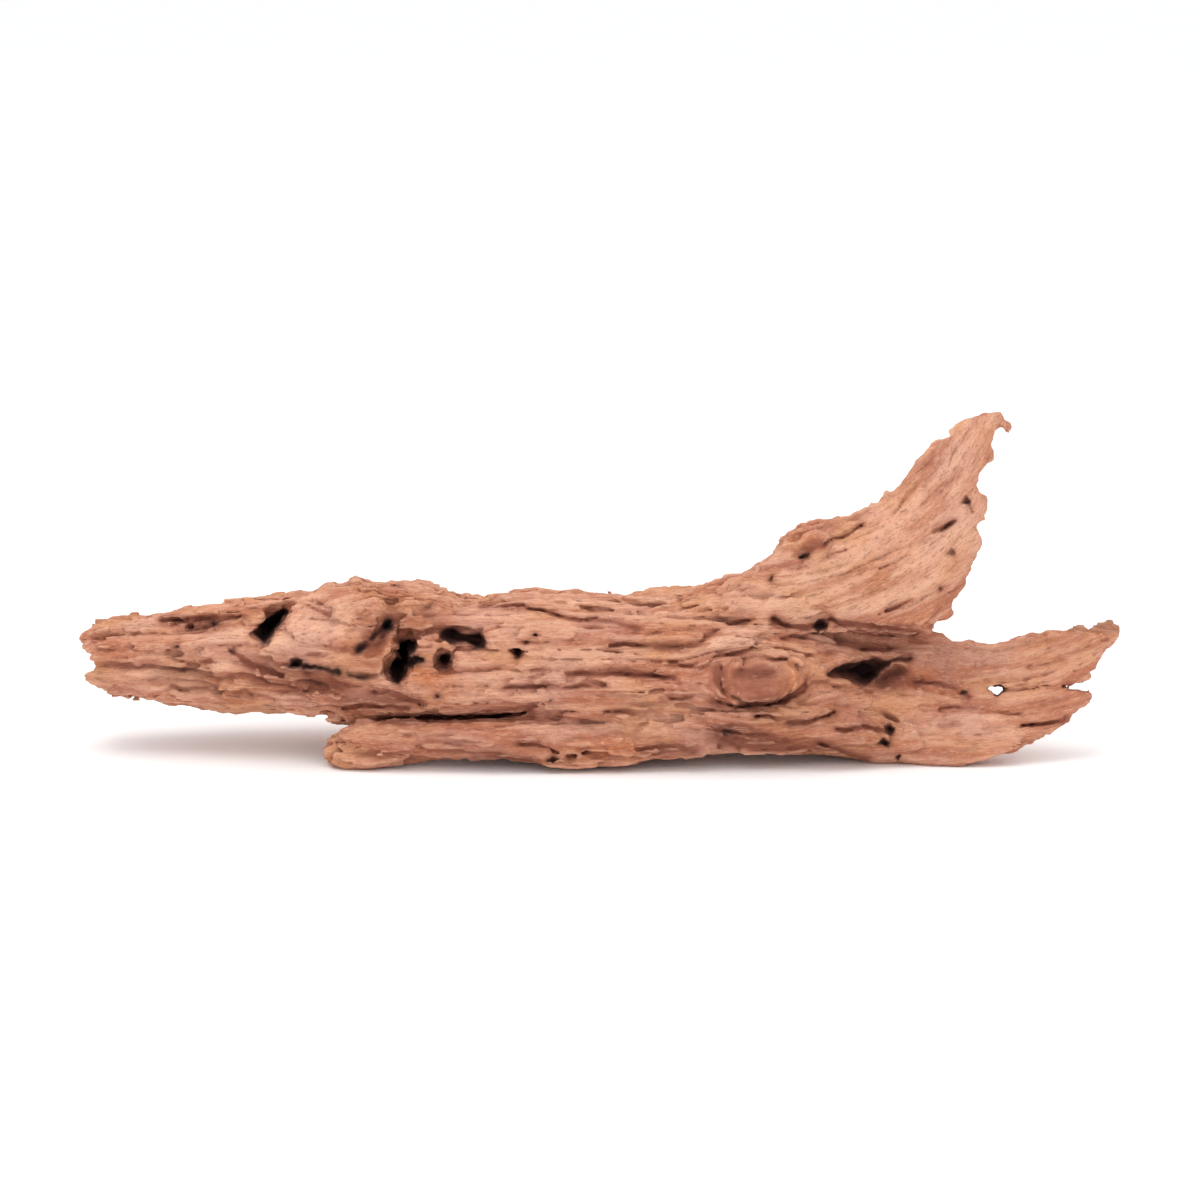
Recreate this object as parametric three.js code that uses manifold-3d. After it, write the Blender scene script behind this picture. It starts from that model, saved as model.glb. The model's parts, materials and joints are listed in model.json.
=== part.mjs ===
// A piece of driftwood: a weathered trunk with a splintered left end, a prong that runs low along its
// front, a heel under its back, and two broken-off plates of wood at its right end, one rising and one
// curling low. It grew as one piece, so it is one solid. Units are millimetres, +Z is up, the wood lies
// along X and its best side faces -Y. The origin is on the ground under the middle of the piece.
import * as THREE from "three";
import { mergeVertices } from "three/addons/utils/BufferGeometryUtils.js";
import Module from "manifold-3d";

const wasm = await Module();
wasm.setup();

// Driving dimensions.
const GRAIN_DIP = 12; // degrees that the breaks in the wood dip towards the front
const FRONT = -20; // y of the line on the ground that the breaks are measured from
const REACH = 200; // how far a break is carried either way, to pass right through the wood
const BARK_BROWN = 0xb98566;

// Each station of a limb: x, y, z, half width, half depth, roll, bow, edge. The width stands upright at
// no roll, and a roll leans its top towards the back. The bow carries the middle of the section back
// from its two edges. The edge is under 1 for a full section and over 1 for one with thin edges.
const TRUNK = [
  [-214, 8, 33.5, 10, 11, 0, 0, 0.86],
  [-197, 9, 34, 14.5, 16, 4, 0, 0.86],
  [-172, 10, 35, 18.5, 21, 6, 0, 0.86],
  [-147, 10, 36.5, 22.5, 26, 0, 0, 0.86],
  [-121, 9, 38, 25, 30, -6, 0, 0.86],
  [-97, 8, 40.5, 28.5, 33, -4, 0, 0.86],
  [-74, 7, 39.5, 28, 35, 0, 0, 0.86],
  [-51, 6, 36, 24, 35, 5, 0, 0.86],
  [-27, 5, 35.6, 26.8, 35, 8, 0, 0.86],
  [0, 5, 33.5, 27.3, 36, 6, 0, 0.86],
  [27, 5, 33, 29, 37, 0, 0, 0.86],
  [50, 4, 33, 28.5, 36, 0, 0, 0.9],
  [75, 2, 31, 27, 31, 4, 1, 1],
  [98, -1, 28, 26.5, 23, 14, 3, 1.1],
  [122, -5, 24, 28.5, 15, 25, 5, 1.2],
  [146, -7, 24, 28.5, 8.6, 32, 6, 1.3],
  [171, -7, 28.5, 26, 6, 31, 6, 1.3],
  [192, -6, 37, 21, 4.8, 28, 5, 1.3],
  [212, -5, 47, 12, 3.8, 26, 3, 1.3],
];
const PRONG = [
  [-107, -23, 5, 4.8, 6, 0, 0, 0.86],
  [-101, -22, 5.4, 6, 8, 0, 0, 0.86],
  [-92, -22, 7, 8, 10, 5, 0, 0.86],
  [-76, -22, 9, 7.6, 11, 10, 0, 0.86],
  [-57, -21, 10.6, 6.8, 12, 5, 0, 0.86],
  [-28, -20, 11.8, 7.8, 13, 0, 0, 0.86],
  [-2, -20, 11, 9.8, 14, -8, 0, 0.86],
  [24, -19, 15.6, 9.4, 13, -4, 0, 0.86],
  [60, -18, 17.4, 9.6, 14, 6, 0, 0.86],
  [92, -16, 14, 9.6, 13, 10, 0, 0.86],
  [112, -13, 9, 9.5, 11, 15, 0, 0.86],
  [134, -10, 7, 7.5, 9, 20, 0, 0.86],
];
const HEEL = [
  [-52, 20, 18, 8, 9, 0, 0, 0.86],
  [-27, 28, 11, 11.4, 13, 10, 0, 0.86],
  [4, 31, 10.5, 11, 14, 0, 0, 0.86],
  [36, 28, 13, 11.5, 14, -10, 0, 0.86],
  [62, 20, 20, 9, 10, 0, 0, 0.86],
];
const RISING_PLATE = [
  [-6, 3, 44, 10, 17, 0, 0, 0.9],
  [26, 0, 46, 15, 19, 0, 0, 0.9],
  [54, -3, 51.5, 19, 18, 0, 0, 0.95],
  [81, -6, 62.5, 30, 14.5, 0, 1, 1],
  [108, -7, 71.5, 29, 12, 6, 2, 1.15],
  [130, -6, 88, 25, 9, 8, 3, 1.3],
  [140, -3, 111.5, 17, 6.5, 6, 3, 1.35],
  [149, 0, 130, 9.5, 4.6, 4, 2, 1.35],
  [158, 2, 141, 6, 3.6, 4, 1, 1.35],
];

// Outlines of the breaks, as x and height where the dip passes through the front line on the ground.
const RISING_EDGE = [
  [-20, 20], [-20, 60], [40, 68.5], [52, 71.6], [60, 74.6], [65, 78.4], [68.5, 83.5], [71.5, 88],
  [77.5, 93.6], [83.5, 95.8], [96, 95.8], [102, 97.8], [108, 100.8], [114, 109.2], [120, 117.8],
  [125.5, 124.6], [128, 125], [129.4, 123], [132, 124.8], [136, 127], [138.4, 132], [141.4, 132.8],
  [144.5, 136], [154, 136.2], [157.2, 134], [159.5, 130.4], [157.6, 128.8], [155.6, 131.2],
  [153.4, 131.6], [151.7, 130], [150.7, 125.4], [151.4, 119], [147.6, 115.6], [145.4, 113.4],
  [144.4, 108.2], [145, 103.9], [148.6, 104], [147.8, 99], [143.8, 92.2], [146, 90.4], [146.8, 86.4],
  [143.8, 80], [139.8, 71], [136.4, 64.6], [135.8, 62], [137.4, 58.6], [135, 56.8], [131, 56.6],
  [127, 52.6], [108, 51.5], [92, 53.5], [84, 52], [74, 50], [60, 40], [40, 20],
];
const TRUNK_EDGE = [
  [-76, -60], [-77, 17.3], [-96, 17.4], [-104.5, 17.2], [-106, 20], [-118, 20.6], [-134, 21.6],
  [-142, 20.6], [-157, 22.4], [-164, 24.2], [-176, 26], [-192, 27], [-198, 30.8], [-201.4, 32.6],
  [-199.6, 36.2], [-197.6, 39.6], [-197.2, 42.4], [-200, 45.6], [-203, 47.6], [-205, 49.2],
  [-202, 51.4], [-197, 53.4], [-188, 57.8], [-178, 56.4], [-170, 57.4], [-164, 61.2], [-151.5, 62.3],
  [-145, 64.6], [-127, 66.5], [-114.5, 66.6], [-108.5, 70.6], [-102, 70], [-95.8, 72.6], [-89, 71],
  [-77, 71.4], [-71, 72.2], [-65, 69.4], [-58.5, 66.2], [-46, 64.6], [-40, 66.5], [-9, 67.3],
  [-2.7, 66.2], [9.6, 64.2], [15.8, 66.1], [28.3, 69.2], [46.8, 72.4], [60, 78], [124, 80], [124, 55],
  [129, 51.6], [134, 49.8], [138, 47.6], [144, 46.2], [159, 46.2], [164, 47.4], [168, 49.4],
  [173, 51.3], [182, 52], [187.6, 54.9], [189.4, 54.5], [190.8, 51.6], [194.4, 53.8], [197.4, 57],
  [201, 56.4], [203, 53], [201.6, 49.6], [198.4, 47.8], [195.4, 43], [192.8, 40.2], [190.4, 36.2],
  [191.2, 34.2], [189.4, 31.6], [190, 29.4], [191.8, 26.6], [190, 24.4], [181, 17.2], [172.4, 11.6],
  [163, 7.6], [153, 4.4], [143, 0.8], [136, -2], [120, -60],
];
// A gap seen right through the low plate, and the split that runs in from its broken end.
const WINDOW = [[149.6, 30.6], [158, 30.4], [155, 25.6]];
const SPLIT = [[179, 29.8], [200, 29], [200, 31.6], [180, 31.6]];

// Hollows: x, y, z, half sizes along x, y and z, turn about Y in degrees.
const HOLLOWS = [
  [-78, -20, 40.5, 4.2, 14, 7.5, 14],
  [-74, -22, 49, 4, 12, 4.6, 10],
  [-53, -25, 51.4, 9, 12, 3, 8],
  [-60, -30, 43.4, 3.3, 10, 3.3, 0],
  [-31.6, -27, 46.6, 2, 7, 2, 0],
  [101, -24, 38, 16, 15, 5.2, -4],
  [94, -26, 49.5, 21, 10, 3.4, 3],
  [22, 45, 40, 32, 8, 5, 4],
  [-120, 38, 40, 18, 6, 3.4, -6],
];
// The straight-sided slot that leans across the left of the trunk.
const POCKET = { at: [-127, -12, 54.6], size: [16, 20, 5.6], turn: -48 };
// The knot on the front, the lump on the rising plate and a branch stub at the back, given as hollows are.
const KNOT = [60.5, -23, 36, 17.5, 9.5, 10, -4];
const BURL = [82, -14, 85, 7.5, 8, 6, -40];
const STUB = [-62, 36, 43, 14, 9, 10, -15];

// Merges a three.js geometry's shared corners and makes it a solid.
function solid(geometry) {
  const bare = geometry.clone();
  bare.deleteAttribute("normal");
  bare.deleteAttribute("uv");
  const merged = mergeVertices(bare, 1e-4);
  return new wasm.Manifold(
    new wasm.Mesh({
      numProp: 3,
      vertProperties: new Float32Array(merged.attributes.position.array),
      triVerts: new Uint32Array(merged.index.array),
    }),
  );
}

// The stations' columns from the given one on, three at a time, as a smooth curve.
function column(stations, first) {
  return new THREE.CatmullRomCurve3(
    stations.map((station) => new THREE.Vector3(...station.slice(first, first + 3))),
  );
}

// The directions across a limb's section: up its width and back through its depth.
function sectionAxes(tangent, roll) {
  const back = new THREE.Vector3(0, 1, 0).addScaledVector(tangent, -tangent.y).normalize();
  const up = new THREE.Vector3().crossVectors(back, tangent).negate();
  if (up.z < 0) {
    up.negate();
  }
  const angle = THREE.MathUtils.degToRad(roll);
  return [
    up.clone().multiplyScalar(Math.cos(angle)).addScaledVector(back, Math.sin(angle)),
    back.clone().multiplyScalar(Math.cos(angle)).addScaledVector(up, -Math.sin(angle)),
  ];
}

// Shallow ribs along the grain that wander as they go.
function ribs(angle, t, height, seed) {
  const wide = Math.sin(5 * angle + seed + 9 * t);
  const narrow = Math.sin(8 * angle - 2 * seed - 14 * t + 2 * Math.sin(7 * t));
  const lump = Math.sin(3 * angle + 31 * t + seed) * Math.sin(17 * t + 2 * seed);
  return 1 + height * (wide + 0.6 * narrow + 0.8 * lump);
}

// A limb is a ball's skin drawn out along its stations, with rounded ends and shallow ribs.
function limb(stations, around, along, height, seed) {
  const CAP = 0.07; // share of the length that each rounded end takes
  const centres = column(stations, 0);
  const sizes = column(stations, 3);
  const forms = column(stations.map((station) => [...station, 0]), 6);
  const skin = new THREE.SphereGeometry(1, around, along);
  const { position, uv } = skin.attributes;
  for (let i = 0; i < position.count; i++) {
    const t = uv.getY(i);
    const pole = t === 0 || t === 1;
    const angle = pole ? 0 : -uv.getX(i) * 2 * Math.PI;
    const end = Math.min(1, Math.min(t, 1 - t) / CAP);
    const cap = Math.sqrt(1 - (1 - end) ** 2);
    const size = sizes.getPoint(t);
    const form = forms.getPoint(t);
    const reach = cap * ribs(angle, t, height, seed);
    const across = Math.sign(Math.cos(angle)) * Math.abs(Math.cos(angle)) ** Math.min(1, form.y) * reach;
    const through = Math.sign(Math.sin(angle)) * Math.abs(Math.sin(angle)) ** form.y * reach;
    const [up, back] = sectionAxes(centres.getTangent(t), size.z);
    const point = centres
      .getPoint(t)
      .addScaledVector(up, across * size.x)
      .addScaledVector(back, through * size.y + form.x * (1 - across * across) * cap);
    position.setXYZ(i, point.x, point.y, point.z);
  }
  const made = solid(skin);
  if (made.volume() > 0) {
    return made;
  }
  skin.setIndex([...skin.index.array].reverse());
  return solid(skin);
}

// A prism over the outline of a break, laid along the dip.
function prism(outline) {
  const shape = new THREE.Shape(outline.map(([x, height]) => new THREE.Vector2(x, height)));
  const block = new THREE.ExtrudeGeometry(shape, { depth: 2 * REACH, bevelEnabled: false });
  block.translate(0, 0, -REACH);
  block.rotateX(Math.PI / 2 - THREE.MathUtils.degToRad(GRAIN_DIP));
  block.translate(0, FRONT, 0);
  return solid(block);
}

// A rough ball of wood or of air.
function ball([x, y, z, a, b, c, turn]) {
  const made = new THREE.IcosahedronGeometry(1, 2);
  made.scale(a, b, c);
  made.rotateY(THREE.MathUtils.degToRad(turn));
  made.translate(x, y, z);
  return solid(made);
}

// A straight-sided block.
function slab({ at, size, turn }) {
  const made = new THREE.BoxGeometry(...size);
  made.rotateY(THREE.MathUtils.degToRad(turn));
  made.translate(...at);
  return solid(made);
}

// Everything under the ground the piece rests on.
function ground() {
  const block = new THREE.BoxGeometry(3 * REACH, REACH, REACH);
  block.translate(0, 0, -REACH / 2);
  return solid(block);
}

// The whole piece: the limbs, cut to their breaks and joined, then hollowed and set flat on the ground.
function driftwoodSolid() {
  const trunk = limb(TRUNK, 26, 70, 0.045, 1)
    .intersect(prism(TRUNK_EDGE))
    .subtract(prism(WINDOW))
    .subtract(prism(SPLIT));
  const rising = limb(RISING_PLATE, 18, 32, 0.03, 4).intersect(prism(RISING_EDGE));
  const wood = trunk
    .add(rising)
    .add(limb(PRONG, 14, 38, 0.08, 2))
    .add(limb(HEEL, 14, 14, 0.04, 3))
    .add(ball(KNOT))
    .add(ball(BURL))
    .add(ball(STUB));
  const hollowed = HOLLOWS.reduce((left, hollow) => left.subtract(ball(hollow)), wood);
  return hollowed.subtract(slab(POCKET)).subtract(ground());
}

// Turns a solid back into a three.js geometry, with the origin under its middle.
function geometryOf(made) {
  const { numProp, numVert, vertProperties, triVerts } = made.getMesh();
  const places = new Float32Array(numVert * 3);
  for (let i = 0; i < numVert; i++) {
    places.set(vertProperties.subarray(i * numProp, i * numProp + 3), i * 3);
  }
  const geometry = new THREE.BufferGeometry();
  geometry.setAttribute("position", new THREE.BufferAttribute(places, 3));
  geometry.setIndex(new THREE.BufferAttribute(new Uint32Array(triVerts), 1));
  geometry.computeVertexNormals();
  geometry.computeBoundingBox();
  const middle = geometry.boundingBox.getCenter(new THREE.Vector3());
  return geometry.translate(-middle.x, -middle.y, 0);
}

const driftwood = new THREE.Group();
const wood = new THREE.Mesh(
  geometryOf(driftwoodSolid()),
  new THREE.MeshStandardMaterial({ color: BARK_BROWN, roughness: 0.85, metalness: 0 }),
);
wood.name = "driftwood";
driftwood.add(wood);

export default driftwood;
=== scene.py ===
import json
import math

import bpy
import numpy as np
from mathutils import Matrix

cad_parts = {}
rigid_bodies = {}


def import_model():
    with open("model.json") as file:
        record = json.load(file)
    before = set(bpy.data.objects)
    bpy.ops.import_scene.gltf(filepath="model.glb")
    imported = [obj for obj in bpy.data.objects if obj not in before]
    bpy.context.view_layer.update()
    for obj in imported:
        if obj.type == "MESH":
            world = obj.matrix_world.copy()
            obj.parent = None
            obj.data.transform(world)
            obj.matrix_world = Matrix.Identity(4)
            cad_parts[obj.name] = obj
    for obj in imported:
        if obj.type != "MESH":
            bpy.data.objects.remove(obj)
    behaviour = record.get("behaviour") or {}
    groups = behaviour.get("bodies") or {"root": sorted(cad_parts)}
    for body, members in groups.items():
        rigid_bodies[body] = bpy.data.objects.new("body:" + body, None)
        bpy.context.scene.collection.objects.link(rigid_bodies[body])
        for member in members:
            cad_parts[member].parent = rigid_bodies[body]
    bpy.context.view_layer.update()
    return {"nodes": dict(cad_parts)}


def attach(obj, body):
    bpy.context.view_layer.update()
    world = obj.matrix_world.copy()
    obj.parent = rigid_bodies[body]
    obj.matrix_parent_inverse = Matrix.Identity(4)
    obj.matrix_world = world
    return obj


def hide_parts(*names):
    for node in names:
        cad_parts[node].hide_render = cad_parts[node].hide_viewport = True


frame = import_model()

import openvdb
from mathutils import Vector

# --- The floor ------------------------------------------------------------------------------------
# A wide sheet of pale matte board, laid flat under the wood and run far out on every side, so that
# nothing but the board is seen behind the piece.
FLOOR_SIZE = 40.0

bpy.ops.object.select_all(action="DESELECT")
bpy.ops.mesh.primitive_plane_add(size=FLOOR_SIZE, location=(0, 0, 0))
floor = bpy.context.object
floor.name = "floor"
board = bpy.data.materials.new("pale_board")
board.use_nodes = True
board_shader = board.node_tree.nodes["Principled BSDF"]
board_shader.inputs["Base Color"].default_value = (0.98, 0.98, 0.985, 1)
board_shader.inputs["Roughness"].default_value = 0.9
board_shader.inputs["Specular IOR Level"].default_value = 0.1
floor.data.materials.append(board)

# --- The driftwood: the sawn-out volume -----------------------------------------------------------
# The wood is one piece that grew. Its rough shape is taken over from the solid part and held as a
# volume, in millimetres, so that rot, cracks and borer holes can be carved into it from every side.
VOXEL = 0.7
BAND = 10  # voxels either side of the surface that the volume knows its depth for
MARGIN = 4  # voxels of air kept round the wood

bpy.ops.object.select_all(action="DESELECT")
wood = frame["nodes"]["driftwood"].copy()
wood.data = wood.data.copy()
wood.name = "driftwood_piece"
wood.parent = None
bpy.context.collection.objects.link(wood)
bpy.context.view_layer.objects.active = wood
wood.select_set(True)
bpy.ops.object.mode_set(mode="EDIT")
bpy.ops.mesh.select_all(action="SELECT")
bpy.ops.mesh.remove_doubles(threshold=1e-6)
bpy.ops.object.mode_set(mode="OBJECT")


def read_list(items, name, kind, width=1):
    """One property of every item, as rows of the width."""
    values = np.empty(len(items) * width, kind)
    items.foreach_get(name, values)
    return values.reshape(-1, width) if width > 1 else values


def read_points(mesh):
    """The mesh's corners in millimetres."""
    return read_list(mesh.vertices, "co", np.float32, 3) * 1000


blank = read_points(wood.data)
wood.data.calc_loop_triangles()
blank_faces = read_list(wood.data.loop_triangles, "vertices", np.int32, 3)
lowest, highest = blank.min(0), blank.max(0)
start = lowest - MARGIN * VOXEL
size = np.ceil((highest - lowest) / VOXEL).astype(int) + 2 * MARGIN + 1
spread = openvdb.createLinearTransform(voxelSize=VOXEL)
spread.postTranslate(start.tolist())
level_set = openvdb.FloatGrid.createLevelSetFromPolygons(
    blank, triangles=blank_faces, transform=spread, halfWidth=BAND
)
blank_depth = np.full(size, BAND * VOXEL, np.float32)  # below 0 inside the wood
level_set.copyToArray(blank_depth, ijk=(0, 0, 0))

SKIN = 6.0  # only this far either side of the surface is worked on
skin = np.nonzero(np.abs(blank_depth) < SKIN)
x, y, z = (start[k] + VOXEL * skin[k].astype(np.float32) for k in range(3))

# --- The driftwood: which way the grain runs ------------------------------------------------------
# The grain runs along the trunk, sweeps up through the rising plate and gently up through the low one,
# and parts round the knot and the burl as water parts round a stone.
RISING_CENTRE = (58, 175)  # x and z that the rising plate's grain turns about
CURLING_CENTRE = (126, 200)
TURNING_HEIGHT = 50  # where distances along the turned grain are true
PLATES_PART = (47, 57)  # heights between which the low plate's grain gives way to the other
KNOT = (61, 33.5, 17, 10)  # x and height seen from the front, half width, half height
BURL = (-99, 58, 18, 11)
BURL_PULL = 0.35  # how far the burl parts the grain, beside the knot's 1


def smooth_step(low, high, value):
    """0 below low, 1 above high, smooth between."""
    share = np.clip((value - low) / (high - low), 0, 1)
    return share * share * (3 - 2 * share)


def turned_grain(x, z, centre):
    """Distances along and across a grain that runs level and then turns up about the centre."""
    along, down = x - centre[0], centre[1] - z
    radius = np.hypot(along, down)
    turning = along > 0
    across = np.where(turning, radius, down)
    length = np.where(turning, np.arctan2(along, down) * (centre[1] - TURNING_HEIGHT), along)
    return centre[0] + length, centre[1] - across


# Where a point is seen from the front: across, and up a picture plane that leans back with the view.
VIEW_TILT = math.radians(12)
VIEW_DISTANCE = 1280.0
VIEW_AIM = (1.0, -25.0, 65.6)
VIEW_HEIGHT = 64.5  # height in the picture plane of the point that is aimed at


def seen_from_front(x, y, z):
    """How far across and how high each point is seen."""
    back, up = y - VIEW_AIM[1], z - VIEW_AIM[2]
    depth = back * math.cos(VIEW_TILT) - up * math.sin(VIEW_TILT)
    shrink = VIEW_DISTANCE / (VIEW_DISTANCE + depth)
    height = back * math.sin(VIEW_TILT) + up * math.cos(VIEW_TILT)
    return (x - VIEW_AIM[0]) * shrink, VIEW_HEIGHT + height * shrink


def oval(u, v, centre):
    """Distance from the middle of an oval, as a share of the way to its rim."""
    return np.hypot((u - centre[0]) / centre[2], (v - centre[1]) / centre[3])


def grain_of(x, y, z, front):
    """Each point's distance along the grain and across it."""
    low_along, low_across = turned_grain(x, z, CURLING_CENTRE)
    high_along, high_across = turned_grain(x, z, RISING_CENTRE)
    share = smooth_step(*PLATES_PART, z)
    along = low_along + (high_along - low_along) * share
    across = low_across + (high_across - low_across) * share
    u, v = seen_from_front(x, y, z)
    for lump, strength in ((KNOT, 1.0), (BURL, BURL_PULL)):
        reach = oval(u, v, lump)
        beyond = np.maximum(reach, 1)
        part = strength * front * np.exp(-(((beyond - 1) / 1.5) ** 2))
        part = part * np.minimum(reach, 1) ** 2 / beyond**2
        across = across - (v - lump[1]) * part
    return along, across


# --- The driftwood: relief ------------------------------------------------------------------------
# Weather has eaten the soft wood out from between the hard, so the surface stands in ribs along the
# grain, with splinters and flakes between deep grooves.
MIXERS = (374761393, 668265263, 2246822519)  # large odd numbers that scatter a cell's bits


def patchy(places, seed):
    """Smooth random values from -1 to 1, one cell of the pattern for each unit of the places."""
    cell = np.floor(places).astype(np.int32)
    near = (places - cell).astype(np.float32)
    near = near * near * (3 - 2 * near)
    cell = cell.astype(np.uint32)
    total = np.zeros(len(places), np.float32)
    for corner in np.ndindex(2, 2, 2):
        mixed = np.full(len(places), seed * 2654435769 % 2**32, np.uint32)
        weight = np.ones(len(places), np.float32)
        for axis, factor in enumerate(MIXERS):
            mixed ^= (cell[:, axis] + np.uint32(corner[axis])) * np.uint32(factor)
            mixed = (mixed ^ (mixed >> np.uint32(15))) * np.uint32(MIXERS[2])
            weight *= near[:, axis] if corner[axis] else 1 - near[:, axis]
        mixed ^= mixed >> np.uint32(13)
        total += weight * ((mixed & np.uint32(0xFFFF)).astype(np.float32) / 32767.5 - 1)
    return total


def ribbed(along, across, through, length, width, seed):
    """Random ribs: length is how far one runs with the grain, width how wide it is."""
    turned = np.stack(
        [
            along / length + 0.13 * seed,
            (0.82 * across + 0.57 * through) / width,
            (0.82 * through - 0.57 * across) / width,
        ],
        axis=1,
    )
    return patchy(turned, seed)


slope = np.gradient(blank_depth, VOXEL)
facing = -(slope[1][skin] * math.cos(VIEW_TILT) - slope[2][skin] * math.sin(VIEW_TILT))
front = np.clip(2.5 * facing, 0, 1).astype(np.float32)
facing = facing.astype(np.float32)
del slope
along, across = grain_of(x, y, z, front)
wander = ribbed(along, across, y, 45, 22, 1)
spots = np.stack([x, y, z], axis=1)
across = across + 2.6 * wander + 0.9 * patchy(spots / (8, 6, 5), 17) + 0.4 * patchy(spots / 2.8, 18)
through = y + 2.6 * ribbed(along, across, y, 50, 24, 2)

smoothness = smooth_step(55, 105, x) * (0.35 + 0.3 * smooth_step(50, 62, z))
rough = 1 - smoothness
thin = smooth_step(85, 150, x)  # the plates are too thin for the deepest relief

swells = ribbed(along, across, through, 60, 17, 3)
grooves = np.clip(1 - 2.3 * np.abs(ribbed(along, across, through, 52, 6.5, 4)), 0, 1) ** 2
grooves *= np.clip(0.65 + 0.9 * ribbed(along, across, through, 40, 24, 5), 0, 1)
veins = np.clip(1 - 2.4 * np.abs(ribbed(along, across, through, 30, 3.0, 6)), 0, 1) ** 2
steps = ribbed(along, across, through, 44, 7, 7) + 0.3 * ribbed(along, across, through, 9, 2.4, 8)
flakes = smooth_step(0, 0.2, steps) + smooth_step(0.36, 0.52, steps)
splits = np.clip(1 - 7 * np.abs(ribbed(along, across, through, 62, 10, 11)), 0, 1)
splits *= smooth_step(0.12, 0.35, ribbed(along, across, through, 36, 15, 12))
fibres = ribbed(along, across, through, 13, 1.5, 9)
crumbs = patchy(spots / 3.6, 10) + 0.8 * patchy(spots / 1.9, 16)
chips = smooth_step(0.25, 0.5, patchy(spots / (7.5, 4.5, 4.5), 13))

# How deep each of them goes, and how far the whole stands proud of the blank's surface.
SWELL, GROOVE, VEIN, FLAKE, CHIP, SPLIT, CRUMB = 1.7, 2.3, 1.5, 0.8, 0.5, 2.6, 0.55
PROUD = 1.25
cut = SWELL * swells + GROOVE * grooves + VEIN * veins + FLAKE * flakes + CHIP * chips
cut = rough * (1 - 0.45 * thin) * cut + SPLIT * splits * (1 - 0.5 * thin) * (0.4 + 0.6 * rough)
cut += (0.4 + 0.4 * rough) * fibres + CRUMB * (0.35 + 0.65 * rough) * crumbs
cut -= PROUD * (1 - 0.5 * thin)
edge_on = np.clip(1 - 2.2 * np.abs(facing), 0, 1)
fray = patchy(spots / (5, 9, 5), 14) + 0.6 * patchy(spots / (2.2, 4, 2.2), 15)
cut += (0.9 + 0.5 * thin) * edge_on * fray
CREST_Y, CREST_HALF, CREST_DROP = -3.0, 4, 7  # the rising plate's torn top, which is rounded off
crest = smooth_step(highest[2] - CREST_DROP, highest[2], z)
cut += crest * (PROUD + 2.0 * ((y - CREST_Y) / CREST_HALF) ** 2)
at_rest = smooth_step(0.5, 5, z)  # the feet keep their shape where they meet the ground
cut *= 0.25 + 0.75 * at_rest

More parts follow.
